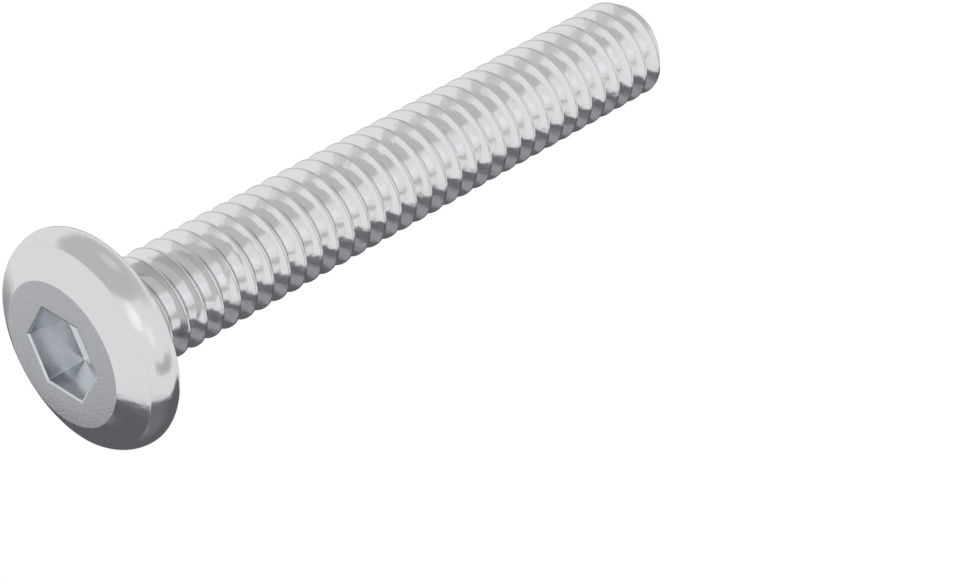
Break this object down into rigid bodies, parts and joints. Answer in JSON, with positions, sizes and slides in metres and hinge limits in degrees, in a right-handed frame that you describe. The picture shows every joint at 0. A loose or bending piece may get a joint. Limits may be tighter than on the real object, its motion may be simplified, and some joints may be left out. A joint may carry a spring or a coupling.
{
  "type": "locking bolt",
  "caption": "Furniture connector bolt: a low flat head with a hexagon socket, a short flared neck and a straight right-hand threaded shank with a chamfered, dished tip.",
  "frame": {"origin": "centre of the head's flat outer face, on which the bolt stands", "axes": "+Z along the bolt's axis from the head to the tip, +X through a corner of the hexagon socket"},
  "size_m": [0.0131, 0.013, 0.0468],
  "materials": {
    "zinc_plated_steel": "bright zinc plating over turned and rolled steel"
  },
  "bodies": {
    "root": {"locking_bolt": "zinc_plated_steel"}
  },
  "joints": []
}
